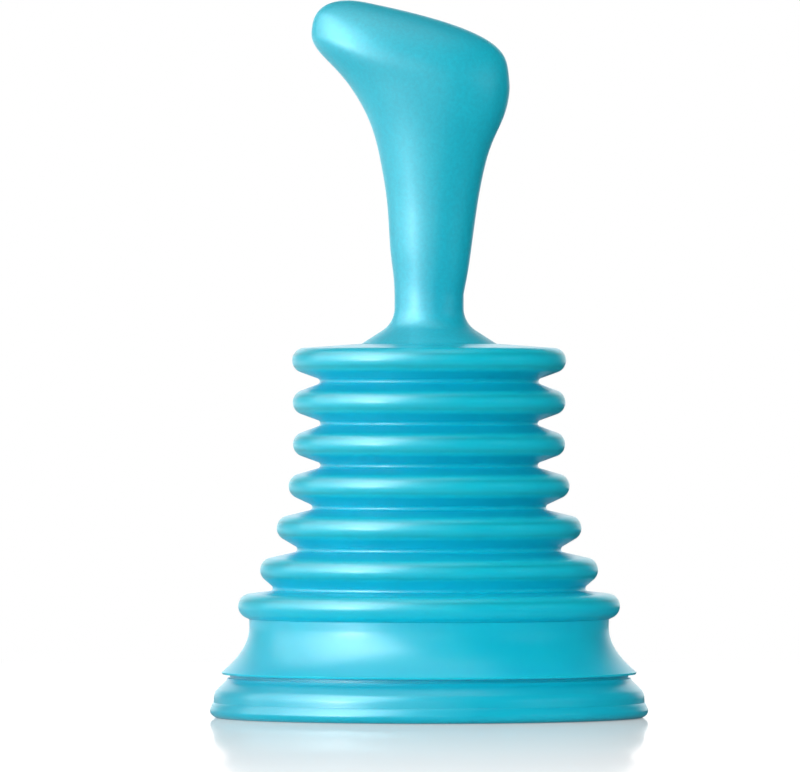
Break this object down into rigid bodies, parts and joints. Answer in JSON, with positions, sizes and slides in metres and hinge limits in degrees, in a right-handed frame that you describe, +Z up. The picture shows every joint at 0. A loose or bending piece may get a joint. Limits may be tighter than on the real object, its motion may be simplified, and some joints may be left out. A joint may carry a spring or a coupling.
{
  "type": "sink plunger",
  "caption": "Small bellows sink plunger: a stepped skirt with a soft sealing ring, a stack of folds that press down and bend, and a hollow grip bolted to the top plate.",
  "frame": {"origin": "centre of the sealing ring's sole, on the surface that the plunger stands on", "axes": "+Z up along the axis of the bellows, -X towards the nose of the grip, -Y to the front"},
  "size_m": [0.14, 0.14, 0.2291],
  "materials": {
    "bellows_plastic": "gloss",
    "web_plastic": "gloss",
    "handle_plastic": "satin",
    "ring_rubber": "satin",
    "gasket_rubber": "matte",
    "plated_steel": "satin"
  },
  "bodies": {
    "base": {"sealing_ring": "ring_rubber", "skirt_cup": "bellows_plastic"},
    "web_6": {"fold_web_6": "web_plastic"},
    "fold_6": {"fold_ring_6": "bellows_plastic"},
    "web_5": {"fold_web_5": "web_plastic"},
    "fold_5": {"fold_ring_5": "bellows_plastic"},
    "web_4": {"fold_web_4": "web_plastic"},
    "fold_4": {"fold_ring_4": "bellows_plastic"},
    "web_3": {"fold_web_3": "web_plastic"},
    "fold_3": {"fold_ring_3": "bellows_plastic"},
    "web_2": {"fold_web_2": "web_plastic"},
    "fold_2": {"fold_ring_2": "bellows_plastic"},
    "web_1": {"fold_web_1": "web_plastic"},
    "handle": {"top_fold": "bellows_plastic", "gasket": "gasket_rubber", "clamp_disc": "plated_steel", "flat_washer": "plated_steel", "lock_washer": "plated_steel", "bolt": "plated_steel", "hex_nut": "plated_steel", "handle_front": "handle_plastic", "handle_rear": "handle_plastic"}
  },
  "joints": [
    {"name": "press_6", "type": "slide", "parent": "base", "child": "web_6", "axis": [0, 0, 1], "range_m": [-0.00464, 0.00103], "stiffness_N_per_m": 5400, "springref_m": 0.00037, "deforming": ["fold_web_6"]},
    {"name": "bend_6", "type": "hinge", "parent": "web_6", "child": "fold_6", "pos_m": [0, 0, 0.047], "axis": [0, 1, 0], "range_deg": [-1.5, 1.5], "stiffness_Nm_per_rad": 12, "deforming": ["fold_web_6"]},
    {"name": "press_5", "type": "slide", "parent": "fold_6", "child": "web_5", "axis": [0, 0, 1], "range_m": [-0.00541, 0.0012], "stiffness_N_per_m": 5400, "springref_m": 0.00034, "deforming": ["fold_web_5"]},
    {"name": "bend_5", "type": "hinge", "parent": "web_5", "child": "fold_5", "pos_m": [0, 0, 0.0604], "axis": [0, 1, 0], "range_deg": [-1.5, 1.5], "stiffness_Nm_per_rad": 12, "deforming": ["fold_web_5"]},
    {"name": "press_4", "type": "slide", "parent": "fold_5", "child": "web_4", "axis": [0, 0, 1], "range_m": [-0.00541, 0.0012], "stiffness_N_per_m": 5400, "springref_m": 0.00032, "deforming": ["fold_web_4"]},
    {"name": "bend_4", "type": "hinge", "parent": "web_4", "child": "fold_4", "pos_m": [0, 0, 0.0738], "axis": [0, 1, 0], "range_deg": [-1.5, 1.5], "stiffness_Nm_per_rad": 12, "deforming": ["fold_web_4"]},
    {"name": "press_3", "type": "slide", "parent": "fold_4", "child": "web_3", "axis": [0, 0, 1], "range_m": [-0.00541, 0.0012], "stiffness_N_per_m": 5400, "springref_m": 0.00029, "deforming": ["fold_web_3"]},
    {"name": "bend_3", "type": "hinge", "parent": "web_3", "child": "fold_3", "pos_m": [0, 0, 0.0872], "axis": [0, 1, 0], "range_deg": [-1.5, 1.5], "stiffness_Nm_per_rad": 12, "deforming": ["fold_web_3"]},
    {"name": "press_2", "type": "slide", "parent": "fold_3", "child": "web_2", "axis": [0, 0, 1], "range_m": [-0.00541, 0.0012], "stiffness_N_per_m": 5400, "springref_m": 0.00027, "deforming": ["fold_web_2"]},
    {"name": "bend_2", "type": "hinge", "parent": "web_2", "child": "fold_2", "pos_m": [0, 0, 0.1006], "axis": [0, 1, 0], "range_deg": [-1.5, 1.5], "stiffness_Nm_per_rad": 12, "deforming": ["fold_web_2"]},
    {"name": "press_1", "type": "slide", "parent": "fold_2", "child": "web_1", "axis": [0, 0, 1], "range_m": [-0.0054, 0.0012], "stiffness_N_per_m": 5400, "springref_m": 0.00025, "deforming": ["fold_web_1"]},
    {"name": "bend_1", "type": "hinge", "parent": "web_1", "child": "handle", "pos_m": [0, 0, 0.114], "axis": [0, 1, 0], "range_deg": [-1.5, 1.5], "stiffness_Nm_per_rad": 12, "deforming": ["fold_web_1"]}
  ],
  "couplings": [
    {"joint": "press_6", "follows": "press_1", "ratio": 0.8582},
    {"joint": "bend_6", "follows": "bend_1", "ratio": 1},
    {"joint": "press_5", "follows": "press_1", "ratio": 1},
    {"joint": "bend_5", "follows": "bend_1", "ratio": 1},
    {"joint": "press_4", "follows": "press_1", "ratio": 1},
    {"joint": "bend_4", "follows": "bend_1", "ratio": 1},
    {"joint": "press_3", "follows": "press_1", "ratio": 1},
    {"joint": "bend_3", "follows": "bend_1", "ratio": 1},
    {"joint": "press_2", "follows": "press_1", "ratio": 1},
    {"joint": "bend_2", "follows": "bend_1", "ratio": 1}
  ]
}
